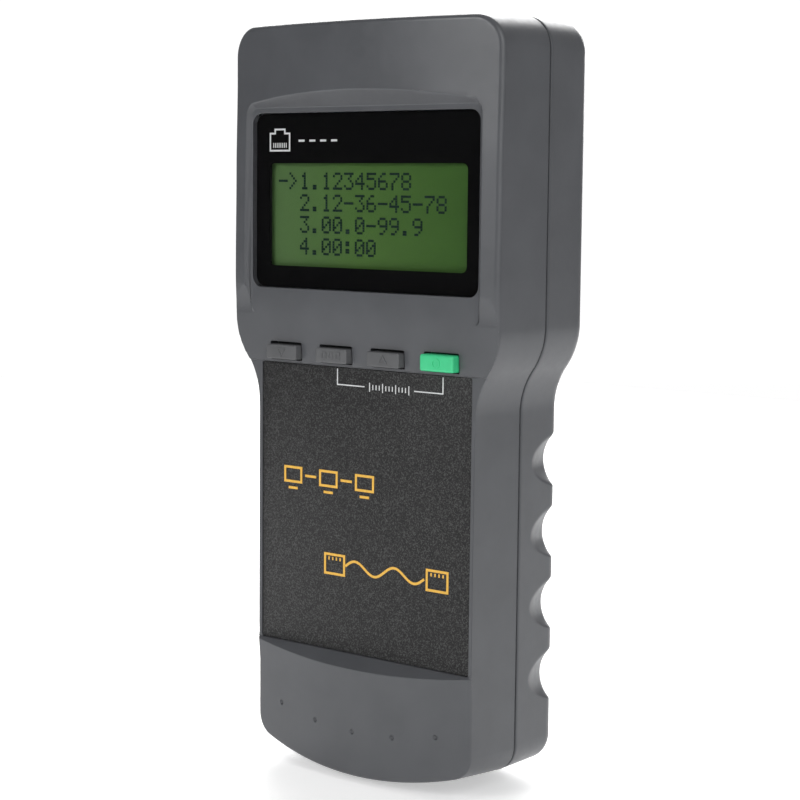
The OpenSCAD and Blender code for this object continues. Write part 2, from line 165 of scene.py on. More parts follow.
# ---------------------------------------------------------------- mesh helpers
def new_mesh(name, points, faces):
    mesh = bpy.data.meshes.new(name)
    mesh.from_pydata([place(*p) for p in points], [], faces)
    mesh.validate()
    mesh.update()
    thing = bpy.data.objects.new(name, mesh)
    bpy.context.scene.collection.objects.link(thing)
    return thing


def loft(name, loops):
    """A solid through closed loops with the same number of points, each (x, depth, z)."""
    count = len(loops[0])
    points = [p for loop in loops for p in loop]
    faces = []
    for i in range(len(loops) - 1):
        for j in range(count):
            k = (j + 1) % count
            faces.append((i * count + j, i * count + k, (i + 1) * count + k, (i + 1) * count + j))
    faces.append(tuple(reversed(range(count))))
    faces.append(tuple(range((len(loops) - 1) * count, len(loops) * count)))
    thing = new_mesh(name, points, faces)
    face_outwards(thing)
    return thing


def face_outwards(thing):
    work = bmesh.new()
    work.from_mesh(thing.data)
    bmesh.ops.recalc_face_normals(work, faces=work.faces)
    work.to_mesh(thing.data)
    work.free()


def arc(centre, radius, start, end, count, last=True):
    """Points (x, z) along an arc, angles in degrees."""
    turns = [start + (end - start) * i / count for i in range(count + (1 if last else 0))]
    return [(centre[0] + radius * math.cos(math.radians(a)),
             centre[1] + radius * math.sin(math.radians(a))) for a in turns]


def line(a, b, count):
    """Points from a up to, but not including, b."""
    return [(a[0] + (b[0] - a[0]) * i / count, a[1] + (b[1] - a[1]) * i / count)
            for i in range(count)]


def at_depth(shape, depth):
    """An (x, z) shape as points at one depth."""
    return [(x, depth, z) for x, z in shape]


def prism(shape, *depths, name="cut"):
    """A solid of one (x, z) shape, straight back through some depths."""
    return loft(name, [at_depth(shape, d) for d in depths])


def box_solid(name, x0, x1, y0, y1, z0, z1):
    return prism([(x0, z0), (x1, z0), (x1, z1), (x0, z1)], y0, y1, name=name)


def side_sweep(profile):
    """A solid from a closed (depth, z) profile, swept across the case."""
    return loft("cut", [[(x, depth, z) for depth, z in profile] for x in (-BESIDE, BESIDE)])


def rounded(w, low, high, r, x=0.0, steps=6):
    """A rectangle with round corners, as (x, z), about x and between two heights."""
    h = w / 2 - r
    points = []
    for cx, cz, start in ((x + h, low + r, -90), (x + h, high - r, 0),
                          (x - h, high - r, 90), (x - h, low + r, 180)):
        points += arc((cx, cz), r, start, start + 90, steps)
    return points


def circle(x, z, r, count=32):
    return arc((x, z), r, 0, 360, count, last=False)


def apply_modifiers(thing):
    bpy.context.view_layer.objects.active = thing
    for modifier in list(thing.modifiers):
        bpy.ops.object.modifier_apply(modifier=modifier.name)


def combine(thing, others, operation):
    """Cuts others out of thing, or joins them to it."""
    for other in others:
        modifier = thing.modifiers.new("combine", "BOOLEAN")
        modifier.operation = operation
        modifier.solver = "MANIFOLD"
        modifier.object = other
    apply_modifiers(thing)
    for other in others:
        bpy.data.objects.remove(other)
    return thing


def flatten(thing):
    """Splits many-sided faces, so that the ones with holes stay flat and shade evenly."""
    work = bmesh.new()
    work.from_mesh(thing.data)
    bmesh.ops.remove_doubles(work, verts=work.verts, dist=0.01 * MM)
    bmesh.ops.triangulate(work, faces=[f for f in work.faces if len(f.verts) > 4])
    work.to_mesh(thing.data)
    work.free()


def soften(thing):
    """Small round edges on every crease, with the flats kept flat."""
    flatten(thing)
    modifier = thing.modifiers.new("edges", "BEVEL")
    modifier.width = EDGE_ROUND * MM
    modifier.segments = 2
    modifier.limit_method = "ANGLE"
    modifier.angle_limit = math.radians(30)
    modifier.use_clamp_overlap = False
    modifier.miter_outer = "MITER_ARC"
    apply_modifiers(thing)
    smooth(thing)
    weighted = thing.modifiers.new("normals", "WEIGHTED_NORMAL")
    weighted.weight = 100
    weighted.keep_sharp = True
    apply_modifiers(thing)


def pierce(thing, cutters):
    """Cuts a finished shell, and gives what the cut leaves alone the shading it had."""
    old = thing.data.copy()
    combine(thing, cutters, "DIFFERENCE")
    flatten(thing)
    smooth(thing)
    old_normals = [corner.vector.copy() for corner in old.corner_normals]
    tree = BVHTree.FromPolygons([v.co for v in old.vertices], [f.vertices for f in old.polygons])
    mesh = thing.data
    normals = [corner.vector.copy() for corner in mesh.corner_normals]
    for face in mesh.polygons:
        for corner in face.loop_indices:
            at = mesh.vertices[mesh.loops[corner].vertex_index].co
            spot, normal, index, distance = tree.find_nearest(at.lerp(face.center, 0.02))
            untouched = distance < 0.02 * MM and normal.dot(face.normal) > 0.95
            if untouched:
                source = old.polygons[index]
                shares = poly_3d_calc([old.vertices[v].co for v in source.vertices], spot)
                normals[corner] = sum((old_normals[i] * share for i, share
                                       in zip(source.loop_indices, shares)), Vector())
    mesh.normals_split_custom_set(normals)
    bpy.data.meshes.remove(old)


def smooth(thing, angle=35):
    for face in thing.data.polygons:
        face.use_smooth = True
    thing.data.set_sharp_from_angle(angle=math.radians(angle))


def finish_piece(thing, material, nodes=(), body=CASE):
    """Gives a piece its material, hides the CAD nodes it stands for and hangs it on the body it rides
    on.
    """
    thing.data.materials.clear()
    thing.data.materials.append(material)
    if nodes:
        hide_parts(*nodes)
    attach(thing, body)
    return thing


# ---------------------------------------------------------------- materials
def new_material(name, color, roughness, **settings):
    """A Principled material with constant values on the shader's own sockets."""
    made = bpy.data.materials.new(name)
    made.use_nodes = True
    shader = made.node_tree.nodes["Principled BSDF"]
    shader.inputs["Base Color"].default_value = (*color, 1)
    shader.inputs["Roughness"].default_value = roughness
    for key, value in settings.items():
        shader.inputs[key.replace("_", " ")].default_value = value
    return made, shader


def object_coords(made):
    nodes = made.node_tree.nodes
    coords = nodes.new("ShaderNodeTexCoord")
    return coords.outputs["Object"]


def noise(made, scale, detail=2.0, rough=0.5):
    """Noise at a scale per metre, so 1000 is one feature per millimetre."""
    node = made.node_tree.nodes.new("ShaderNodeTexNoise")
    node.inputs["Scale"].default_value = scale
    node.inputs["Detail"].default_value = detail
    node.inputs["Roughness"].default_value = rough
    made.node_tree.links.new(object_coords(made), node.inputs["Vector"])
    return node.outputs["Fac"]


def ramp(made, value, stops):
    """A colour ramp over value; stops are (position, (r, g, b))."""
    node = made.node_tree.nodes.new("ShaderNodeValToRGB")
    for i, (at, color) in enumerate(stops):
        stop = node.color_ramp.elements[i] if i < 2 else node.color_ramp.elements.new(at)
        stop.position = at
        stop.color = (*color, 1)
    made.node_tree.links.new(value, node.inputs["Fac"])
    return node.outputs["Color"]


def spread(made, value, low, high):
    node = made.node_tree.nodes.new("ShaderNodeMapRange")
    node.inputs["From Min"].default_value = 0.3
    node.inputs["From Max"].default_value = 0.7
    node.inputs["To Min"].default_value = low
    node.inputs["To Max"].default_value = high
    made.node_tree.links.new(value, node.inputs["Value"])
    return node.outputs["Result"]


def bump(made, shader, height, distance, strength=1.0):
    node = made.node_tree.nodes.new("ShaderNodeBump")
    node.inputs["Strength"].default_value = strength
    node.inputs["Distance"].default_value = distance * MM
    made.node_tree.links.new(height, node.inputs["Height"])
    made.node_tree.links.new(node.outputs["Normal"], shader.inputs["Normal"])


def link(made, output, shader, socket):
    made.node_tree.links.new(output, shader.inputs[socket])


def scaled(color, factor):
    return tuple(c * factor for c in color)


def moulded_plastic(name, color, roughness, grain=0.012, grain_scale=2600):
    """Satin moulded plastic: fine spark-eroded grain, slight mottling and uneven sheen."""
    made, shader = new_material(name, color, roughness)
    mottle = noise(made, 90, 3)
    link(made, ramp(made, mottle, [(0.35, scaled(color, 0.94)), (0.65, scaled(color, 1.06))]),
         shader, "Base Color")
    sheen = noise(made, 500, 4, 0.6)
    link(made, spread(made, sheen, roughness - 0.04, roughness + 0.05), shader, "Roughness")
    bump(made, shader, noise(made, grain_scale, 2), grain)
    return made


def speckled_label(name):
    """Dark embossed film with a fine sparkle of lighter specks."""
    dark = (0.0072, 0.0072, 0.0075)
    light = (0.057, 0.057, 0.057)
    made, shader = new_material(name, dark, 0.5, Specular_IOR_Level=0.3)
    specks = noise(made, 3300, 2, 0.6)
    link(made, ramp(made, specks, [(0.47, dark), (0.66, light)]), shader, "Base Color")
    link(made, spread(made, noise(made, 1900, 2), 0.38, 0.62), shader, "Roughness")
    bump(made, shader, noise(made, 3300, 2, 0.6), 0.04, 0.8)
    return made


def black_gloss(name):
    made, shader = new_material(name, (0.0045, 0.0045, 0.0048), 0.06, Specular_IOR_Level=0.04)
    link(made, spread(made, noise(made, 260, 3), 0.03, 0.09), shader, "Roughness")
    return made


def clear_pane(name):
    """Clear acrylic: what is behind it shows, and its face mirrors a little."""
    made = bpy.data.materials.new(name)
    made.use_nodes = True
    tree = made.node_tree
    tree.nodes.remove(tree.nodes["Principled BSDF"])
    clear = tree.nodes.new("ShaderNodeBsdfTransparent")
    mirror = tree.nodes.new("ShaderNodeBsdfGlossy")
    mirror.inputs["Roughness"].default_value = 0.04
    grazing = tree.nodes.new("ShaderNodeFresnel")
    grazing.inputs["IOR"].default_value = 1.09
    mix = tree.nodes.new("ShaderNodeMixShader")
    tree.links.new(grazing.outputs["Fac"], mix.inputs["Fac"])
    tree.links.new(clear.outputs["BSDF"], mix.inputs[1])
    tree.links.new(mirror.outputs["BSDF"], mix.inputs[2])
    tree.links.new(mix.outputs["Shader"], tree.nodes["Material Output"].inputs["Surface"])
    return made


def display_green(name):
    """Reflective display, with painted light that makes it brighter towards the left, and a very fine
    texture.
    """
    made, shader = new_material(name, (0.07, 0.15, 0.03), 0.35, Specular_IOR_Level=0.2)
    nodes = made.node_tree.nodes
    split = nodes.new("ShaderNodeSeparateXYZ")
    made.node_tree.links.new(object_coords(made), split.inputs["Vector"])
    across = nodes.new("ShaderNodeMapRange")
    across.inputs["From Min"].default_value = -WINDOW_W / 2 * MM
    across.inputs["From Max"].default_value = WINDOW_W / 2 * MM
    made.node_tree.links.new(split.outputs["X"], across.inputs["Value"])
    # Painted light: the base colour runs from lighter on the left to darker on the right, standing in
    # for the light that falls on the display
    link(made, ramp(made, across.outputs["Result"],
                    [(0.0, (0.070, 0.132, 0.047)), (1.0, (0.032, 0.084, 0.014)),
                     (0.45, (0.056, 0.122, 0.027))]), shader, "Base Color")
    bump(made, shader, noise(made, 4000, 1), 0.002)
    return made


def metal(name, color, roughness):
    made, shader = new_material(name, color, roughness, Metallic=1.0)
    link(made, spread(made, noise(made, 700, 4), roughness - 0.07, roughness + 0.1),
         shader, "Roughness")
    bump(made, shader, noise(made, 1500, 2), 0.004)
    return made


def print_ink(name, color, gloss=0.5):
    made, shader = new_material(name, color, 0.45, Specular_IOR_Level=gloss)
    link(made, ramp(made, noise(made, 2500, 2), [(0.3, scaled(color, 0.86)), (0.6, color)]),
         shader, "Base Color")
    return made


SHELL_COLOR = (0.069, 0.072, 0.079)
shell_plastic = moulded_plastic("shell_plastic", SHELL_COLOR, 0.36)
key_plastic = moulded_plastic("key_plastic", (0.085, 0.087, 0.091), 0.42, 0.008)
green_plastic = moulded_plastic("green_plastic", (0.040, 0.53, 0.225), 0.42, 0.006)
black_plastic = moulded_plastic("black_plastic", (0.018, 0.018, 0.020), 0.38)
label_film = speckled_label("label_film")
lens_black = black_gloss("lens_black")
lens_clear = clear_pane("lens_clear")
display_face = display_green("display_face")
display_ink = print_ink("display_ink", (0.012, 0.024, 0.022), 0.05)
steel = metal("plated_steel", (0.60, 0.61, 0.63), 0.28)
brass = metal("gold_plate", (0.86, 0.62, 0.25), 0.25)
white_ink = print_ink("white_ink", (0.66, 0.67, 0.68))
gold_ink = print_ink("gold_ink", (0.80, 0.45, 0.060))
board_mask = moulded_plastic("board_mask", (0.015, 0.12, 0.045), 0.30, 0.003)
frosted = moulded_plastic("frosted_diffuser", (0.80, 0.80, 0.74), 0.55, 0.004)
blue_sleeve = moulded_plastic("blue_sleeve", (0.02, 0.045, 0.16), 0.25, 0.002)
battery_sleeve = moulded_plastic("battery_sleeve", (0.035, 0.035, 0.042), 0.30, 0.003)
red_plastic = moulded_plastic("red_plastic", (0.50, 0.015, 0.012), 0.35, 0.003)
foam_rubber = moulded_plastic("foam_rubber", (0.022, 0.022, 0.023), 0.85, 0.12, 900)


# ---------------------------------------------------------------- the case's outline
def half_outline(inset, along=24):
    """The right half of the outline, from the bottom's middle up to the top's, as (x, z)."""
    turn = math.degrees(math.atan2(CORNER_Z - BOTTOM_R, CORNER_X))
    rise = math.degrees(math.atan2(SHOULDER_UP[1] - SHOULDER_LOW[1],
                                   SHOULDER_UP[0] - SHOULDER_LOW[0]))
    side = GRIP - inset
    head_side = HEAD - inset
    head_z = BODY_H - HEAD_CORNER_R
    points = arc((0, BOTTOM_R), BOTTOM_R - inset, -90, turn, 26, last=False)
    points += arc((CORNER_X, CORNER_Z), BOTTOM_CORNER_R - inset, turn, 0, 9, last=False)
    points += line((side, CORNER_Z), (side, SHOULDER_LOW[1]), along)
    points += arc(SHOULDER_LOW, SHOULDER_R + inset, 180, rise, 14, last=False)
    points += arc(SHOULDER_UP, SHOULDER_R - inset, rise - 180, 0, 14, last=False)
    points += line((head_side, SHOULDER_Z), (head_side, head_z), 40)
    points += arc((HEAD - HEAD_CORNER_R, head_z), HEAD_CORNER_R - inset, 0, 90, 12, last=False)
    points += line((HEAD - HEAD_CORNER_R, BODY_H - inset), (0, BODY_H - inset), COLUMNS // 2)
    return points + [(0, BODY_H - inset)]


def outline(inset, along=24):
    half = half_outline(inset, along)
    return half + [(-x, z) for x, z in reversed(half[1:-1])]


def ease(t):
    t = min(1.0, max(0.0, t))
    return t * t * (3 - 2 * t)


def crown(x, z):
    """Depth of the crowned front."""
    for (a, low), (b, high) in zip(PROUD, PROUD[1:]):
        if z <= b:
            proud = low + (high - low) * ease((z - a) / (b - a))
            break
    return CROWN_R - proud - math.sqrt(CROWN_R ** 2 - x * x)


def front_ring(share, turn=0.0):
    """A ring of the front shell: share runs up its wall, then turn goes round its front edge."""
    lift, pull = 1 - math.sin(turn), 1 - math.cos(turn)
    start = PARTING - 0.5
    ring = []
    for on_head, on_grip in zip(outline(DRAFT * share + HEAD_EDGE_R * pull),
                                outline(GRIP_DRAFT * share + GRIP_EDGE_R * pull)):
        head = ease((on_head[1] - 88) / 16)
        x, z = (g + (h - g) * head for h, g in zip(on_head, on_grip))
        z += END_DRAFT * share * (1 - 2 * z / BODY_H)
        edge = crown(x, z) + (GRIP_EDGE_R + (HEAD_EDGE_R - GRIP_EDGE_R) * head) * lift
        ring.append((x, start + (edge - start) * share, z))
    return ring


def crowned_solid(name, loops):
    """A solid through loops, whose last loop is closed by a grid that follows the crown."""
    count = len(loops[0])
    points = [p for loop in loops for p in loop]
    faces = [(i * count + j, i * count + (j + 1) % count, (i + 1) * count + (j + 1) % count,
              (i + 1) * count + j) for i in range(len(loops) - 1) for j in range(count)]
    faces.append(tuple(reversed(range(count))))
    last = (len(loops) - 1) * count
    top = count // 2 - COLUMNS // 2
    rows = []
    for k in range(1, top):
        x, _, z = loops[-1][k]
        row = [last + k]
        for j in range(1, COLUMNS):
            row.append(len(points))
            at = x * (1 - 2 * j / COLUMNS)
            points.append((at, crown(at, z), z))
        rows.append(row + [last + count - k])
    rows.append([last + top + j for j in range(COLUMNS + 1)])
    for below, above in zip(rows, rows[1:]):
        faces += [(below[j], below[j + 1], above[j + 1], above[j]) for j in range(COLUMNS)]
    faces += [(last, rows[0][j + 1], rows[0][j]) for j in range(COLUMNS)]
    thing = new_mesh(name, points, faces)
    face_outwards(thing)
    return thing


def edge_profile(start, face, radius, steps=8):
    """(depth, inset) pairs that round a face's edge, from the wall to the face."""
    way = 1 if face > start else -1
    turns = [math.radians(90 * i / steps) for i in range(steps + 1)]
    return [(face - way * radius * (1 - math.sin(turn)), radius * (1 - math.cos(turn)))
            for turn in turns]


def scallop_depth(z, depth):
    """How far a finger scallop sinks in from the handle's side, at a height and a depth."""
    place_in_row = min(SCALLOP_COUNT - 1, max(0, round((z - SCALLOP_Z) / SCALLOP_PITCH)))
    off = min(SCALLOP_R, abs(z - SCALLOP_Z - place_in_row * SCALLOP_PITCH))
    rise = SCALLOP_R - math.sqrt(SCALLOP_R ** 2 - off * off)
    sink = SCALLOP_LEAN * (depth - SCALLOP_START) - rise
    return 0.5 * (sink + math.sqrt(sink * sink + SCALLOP_BLEND ** 2)) - 0.5 * SCALLOP_BLEND


def back_loops(profile):
    """Rings of the back shell, one for each (depth, inset), with the scallops pressed in."""
    loops = []
    for depth, inset in profile:
        loop = at_depth(outline(inset, 200), depth)
        loops.append([(x - math.copysign(max(0.0, scallop_depth(z, depth)), x), d, z)
                      if abs(x) > GRIP - 6 and z < SHOULDER_LOW[1] else (x, d, z)
                      for x, d, z in loop])
    return loops


# ---------------------------------------------------------------- front shell
KEYS = {name: span(name) for name in ("key_down", "key_pair", "key_up", "key_power")}
KEY_X = {name: (box[0].x + box[1].x) / 2 for name, box in KEYS.items()}
KEY_HALF = 4.9
KEY_LOW = 103.05
KEY_TOP = {"key_down": 106.65, "key_pair": 106.65, "key_up": 106.65, "key_power": 107.05}
KEY_GAP = 0.3           # clearance beside and below a key
KEY_ROOM = 0.65         # clearance above a key, and above the power key
POWER_KEY_ROOM = 0.45

# Five dimples along an arc on the skirt; the steps are (share of the radius, depth)
DIMPLE_PITCH = 12.33
DIMPLE_LOW = 12.6
DIMPLE_ARC_R = 110
DIMPLE_R = 0.62
DIMPLE_STEPS = ((1.15, -0.6), (1.15, -0.02), (1.0, 0.12), (0.6, 0.42), (0.2, 0.5))


def front_cuts():
    """What the front loses: the chin, the handle's face, the pockets and the inside."""
    # The strips beside the recess run out, and the chin falls back towards the lip
    chin = [(BEFORE, RECESS_LOW + RUNOUT_RISE)]
    for i in range(13):
        t = 1 - i / 12
        chin.append((-RUNOUT * t * t, RECESS_LOW + RUNOUT_RISE * t))
    chin += [(CHIN_FALL, LIP_Z), (BEFORE, LIP_Z)]
    # The sunken front of the handle, with a step that slopes down to the skirt
    handle_low = LABEL[0].z - LABEL_PLAY
    handle = [(BEFORE, LIP_Z), (HANDLE_FACE, LIP_Z), (HANDLE_FACE, handle_low),
              (BEFORE, handle_low - STEP_SLOPE * (HANDLE_FACE - BEFORE))]
    # The display recess, whose walls spread towards the front
    recess = [at_depth(rounded(2 * (RECESS_HALF + r), RECESS_LOW - r, RECESS_TOP + r,
                               RECESS_CORNER_R + r), d)
              for r, d in ((-STEP_SLOPE * BEFORE, BEFORE), (0, 0.0))]
    lens = rounded(2 * (LENS[1].x + LENS_PLAY), LENS[0].z - LENS_PLAY, LENS[1].z + LENS_PLAY,
                   LENS_CORNER_R, steps=8)
    module = rounded(MODULE_W, WINDOW_Z - MODULE_H / 2, WINDOW_Z + MODULE_H / 2, WINDOW_CORNER_R)
    label = rounded(2 * (LABEL[1].x + LABEL_PLAY), handle_low, LABEL[1].z + LABEL_PLAY,
                    LABEL_CORNER_R)
    inside_head = rounded(2 * (HEAD - WALL) - 1, 113, BODY_H - WALL - 0.5, 5)
    return [side_sweep(chin), side_sweep(handle), loft("cut", recess), prism(lens, BEFORE, LENS_SEAT),
            prism(module, 1.0, 5.0), prism(label, -1.0, LABEL[1].y),
            prism(outline(WALL), FACE_INSIDE, PARTING + 1), prism(inside_head, HEAD_FACE_INSIDE, 5.0)]


def key_openings():
    openings = []
    for name, x in KEY_X.items():
        room = POWER_KEY_ROOM if name == "key_power" else KEY_ROOM
        hole = rounded(2 * (KEY_HALF + KEY_GAP), KEY_LOW - KEY_GAP, KEY_TOP[name] + room, 0.4, x)
        openings.append(prism(hole, BEFORE, 6.0))
    return openings


def dimples():
    cuts = []
    for i in range(-2, 3):
        x = i * DIMPLE_PITCH
        z = DIMPLE_LOW + DIMPLE_ARC_R - math.sqrt(DIMPLE_ARC_R ** 2 - x * x)
        cuts.append(loft("cut", [at_depth(circle(x, z, DIMPLE_R * share, 20), crown(x, z) + depth)
                                 for share, depth in DIMPLE_STEPS]))
    return cuts


def build_front_shell():
    loops = [at_depth(outline(0.25), PARTING - SEAM),
             at_depth(outline(0.03), PARTING - SEAM - 0.2)]
    loops += [front_ring(i / 12) for i in range(13)]
    loops += [front_ring(1, math.radians(90 * i / 8)) for i in range(1, 9)]
    shell = crowned_solid("front_case", loops)
    combine(shell, front_cuts(), "DIFFERENCE")
    # The tongue that laps into the back shell, and the posts for the screws
    tongue = prism(outline(TONGUE), PARTING - 2, PARTING + 1.5, name="tongue")
    combine(tongue, [prism(outline(WALL), PARTING - 3, PARTING + 3)], "DIFFERENCE")
    posts = [prism(circle(x, z, FRONT_POST_R), 3.0, PARTING - 0.1, name="post") for x, z in SCREWS]
    combine(shell, [tongue] + posts, "UNION")
    soften(shell)
    pierce(shell, key_openings() + dimples())
    finish_piece(shell, shell_plastic, ["front_shell"])


# ---------------------------------------------------------------- back shell
BAY_HALF = 14.2
BAY_Z = (23.5, 93.0)
BAY_FLOOR = 14.3        # depth of the battery bay's floor
BAY_WALL = 1.5
LEDGE_HALF = 18.5       # the frame that the door lies on
DOOR_LOW = 26.3         # the door panel's lower edge, above its tabs
DOOR_GAP = 0.25
INSIDE_HALF = 29.3      # half the width inside, between the scallops
SCALLOPS_INSIDE = 22.0  # the depth from which it is that narrow
JACK_GAP = 0.12         # clearance beside a socket, and behind it
JACK_BACK_GAP = 0.15


def build_back_shell():
    wall_start, wall_end = PARTING + 0.5, BACK - BACK_EDGE_R
    steps = 34
    profile = [(PARTING + SEAM, 0.25), (PARTING + SEAM + 0.2, 0.03)]
    profile += [(wall_start + (wall_end - wall_start) * i / steps, 0.0) for i in range(1, steps + 1)]
    profile += edge_profile(PARTING, BACK, BACK_EDGE_R)[1:]
    shell = loft("back_case", back_loops(profile))

    inner = BACK - WALL
    narrow = [(max(-INSIDE_HALF, min(INSIDE_HALF, x)) if z < SHOULDER_LOW[1] + 6 else x, z)
              for x, z in outline(WALL)]
    combine(shell, [prism(outline(REBATE), PARTING - 1, PARTING + 1.8),
                    prism(outline(WALL), PARTING - 1, SCALLOPS_INSIDE + 0.5),
                    prism(narrow, SCALLOPS_INSIDE, inner)], "DIFFERENCE")

    low, high = BAY_Z
    bay_out, ledge = BAY_HALF + BAY_WALL, BAY_WALL - 0.1
    walls = [box_solid("bay", -bay_out, bay_out, BAY_FLOOR - BAY_WALL, inner + 0.5,
                       low - BAY_WALL, high + BAY_WALL),
             box_solid("bay", -LEDGE_HALF, LEDGE_HALF, inner - 1.5, inner + 0.4,
                       low - ledge, high + ledge)]
    walls += [prism(circle(x, z, BACK_POST_R), PARTING, inner + 0.3, name="post") for x, z in SCREWS]
    combine(shell, walls, "UNION")

    door_high = DOOR[1].z
    doorway = rounded(2 * (DOOR[1].x + DOOR_GAP), DOOR_LOW - DOOR_GAP, door_high + DOOR_GAP, 1.2)
    mouth = BAY_HALF - 0.01
    cuts = [box_solid("cut", -BAY_HALF, BAY_HALF, BAY_FLOOR, inner, low, high),
            box_solid("cut", -mouth, mouth, 20, BACK + 1, DOOR_LOW - 0.2, door_high + 0.2),
            prism(doorway, inner, BACK + 2),
            box_solid("cut", -8, 8, 18, 24, high - 1, high + 3.5)]      # the leads' way out
    for x, z in SCREWS:
        cuts.append(prism(circle(x, z, SCREW_HEAD_R, 40), SCREW_SEAT, BACK + 1))
        cuts.append(prism(circle(x, z, SCREW_HOLE_R, 24), PARTING - 1, SCREW_SEAT + 0.1))
    for jack in ("jack_main_shield", "jack_loop_shield"):
        box = span(jack)
        cuts.append(box_solid("cut", box[0].x - JACK_GAP, box[1].x + JACK_GAP, PARTING - 2,
                              box[1].y + JACK_BACK_GAP, BODY_H - 5, BODY_H + 2))
    combine(shell, cuts, "DIFFERENCE")
    soften(shell)
    finish_piece(shell, shell_plastic, ["back_shell"])


# ---------------------------------------------------------------- lens, display and label
# Depths of the pane's back, and of the black print behind it
PANE_BACK = 1.25
MASK_FRONT = 1.46
MASK_BACK = 1.60


def build_lens():
    w, low, high = 2 * LENS[1].x, LENS[0].z, LENS[1].z
    steps = ((0.18, 0.0), (0.05, 0.06), (0, 0.18), (0, PANE_BACK))
    pane = loft("lens_pane", [at_depth(rounded(w - 2 * inset, low + inset, high - inset,
                                               LENS_CORNER_R - inset, steps=10), d)
                              for inset, d in steps])
    smooth(pane, 10)
    finish_piece(pane, lens_clear, ["display_lens"])
    sheet = rounded(w - 0.02, low + 0.01, high - 0.01, LENS_CORNER_R, steps=10)
    mask = prism(sheet, MASK_FRONT, MASK_BACK, name="lens_mask")
    window = rounded(WINDOW_W, WINDOW_Z - WINDOW_H / 2, WINDOW_Z + WINDOW_H / 2, WINDOW_CORNER_R,
                     steps=8)
    combine(mask, [prism(window, 1.0, 2.0)], "DIFFERENCE")
    smooth(mask)
    finish_piece(mask, lens_black)


# A dot-matrix face, five columns by seven rows, for digits and the few signs shown
GLYPHS = {
    "0": "01110 10001 10011 10101 11001 10001 01110",
    "1": "00100 01100 00100 00100 00100 00100 01110",
    "2": "01110 10001 00001 00010 00100 01000 11111",
    "3": "11111 00010 00100 00010 00001 10001 01110",
    "4": "00010 00110 01010 10010 11111 00010 00010",
    "5": "11111 10000 11110 00001 00001 10001 01110",
    "6": "00110 01000 10000 11110 10001 10001 01110",
    "7": "11111 00001 00010 00100 01000 01000 01000",
    "8": "01110 10001 10001 01110 10001 10001 01110",
    "9": "01110 10001 10001 01111 00001 00010 01100",
    "-": "00000 00000 00000 11111 00000 00000 00000",
    ">": "10000 01000 00100 00010 00100 01000 10000",
    ".": "00000 00000 00000 00000 00000 01100 01100",
    ":": "00000 01100 01100 00000 01100 01100 00000",
}
ROWS = ("->1.12345678", "  2.12-36-45-78", "  3.00.0-99.9", "  4.00:00")
CHAR_PITCH = 3.55
ROW_PITCH = 5.35
DOT_PITCH = 0.60
DOT = 0.56
TEXT_X = -29.16         # the first character's left edge and top
TEXT_Z = 149.26
TEXT_DEPTH = 3.0


def build_display():
    """The dots of the four rows; the glass behind them is the CAD's."""
    points, faces = [], []
    for row, words in enumerate(ROWS):
        for column, sign in enumerate(words):
            if sign not in GLYPHS:
                continue
            for j, bits in enumerate(GLYPHS[sign].split()):
                for i, bit in enumerate(bits):
                    if bit == "1":
                        x = TEXT_X + column * CHAR_PITCH + i * DOT_PITCH
                        z = TEXT_Z - row * ROW_PITCH - j * DOT_PITCH
                        add_tile(points, faces, x, x + DOT, z - DOT, z, TEXT_DEPTH, 0.04)
    digits = new_mesh("display_digits", points, faces)
    finish_piece(digits, display_ink)


def add_tile(points, faces, x0, x1, z0, z1, depth, thick):
    """A thin closed tile, standing off the surface behind it."""
    n = len(points)
    points += [(x0, depth, z0), (x1, depth, z0), (x1, depth, z1), (x0, depth, z1),
               (x0, depth + thick, z0), (x1, depth + thick, z0), (x1, depth + thick, z1),
               (x0, depth + thick, z1)]
    faces += [(n, n + 1, n + 2, n + 3), (n + 7, n + 6, n + 5, n + 4), (n, n + 4, n + 5, n + 1),
              (n + 1, n + 5, n + 6, n + 2), (n + 2, n + 6, n + 7, n + 3), (n + 3, n + 7, n + 4, n)]


def build_label():
    w, low, high = 2 * LABEL[1].x, LABEL[0].z, LABEL[1].z
    steps = ((0.1, LABEL[0].y), (0.0, LABEL[0].y + 0.08), (0.0, LABEL[1].y - 0.02))
    plate = loft("label_film", [at_depth(rounded(w - 2 * inset, low + inset, high - inset,
                                                 LABEL_CORNER_R, steps=4), d)
                                for inset, d in steps])
    smooth(plate)
    finish_piece(plate, label_film, ["label_plate"])


# ---------------------------------------------------------------- keys
def raised_ring(outer, inner, front, stand, sink):
    """An (x, z) shape with a smaller one cut out, standing off a key's face."""
    solid = prism(outer, front - stand, front + sink, name="sign")
    return combine(solid, [prism(inner, front - 1, front + 1)], "DIFFERENCE")


def triangle(x, z, way, scale):
    """A triangle that points up or down, by way."""
    wide, low, high = 1.4375 * scale, 0.9375 * scale, 1.1875 * scale
    return [(x - wide, z - way * low), (x + wide, z - way * low), (x, z + way * high)]


def key_signs(name, x, z, front):
    """A ring, three small boxes, or a triangle."""
    if name == "key_power":
        return [raised_ring(circle(x, z, 1.22, 40), circle(x, z, 0.86, 40), front, 0.12, 0.3)]
    if name == "key_pair":
        return [raised_ring(rounded(1.5, z - 0.9, z + 0.9, 0.3, x + shift, 4),
                            rounded(0.9, z - 0.6, z + 0.6, 0.2, x + shift, 4), front, 0.1, 0.2)
                for shift in (-2.2, 0, 2.2)]
    way = 1 if name == "key_up" else -1
    return [raised_ring(triangle(x, z, way, 1.0), triangle(x, z, way, 0.62), front, 0.1, 0.2)]


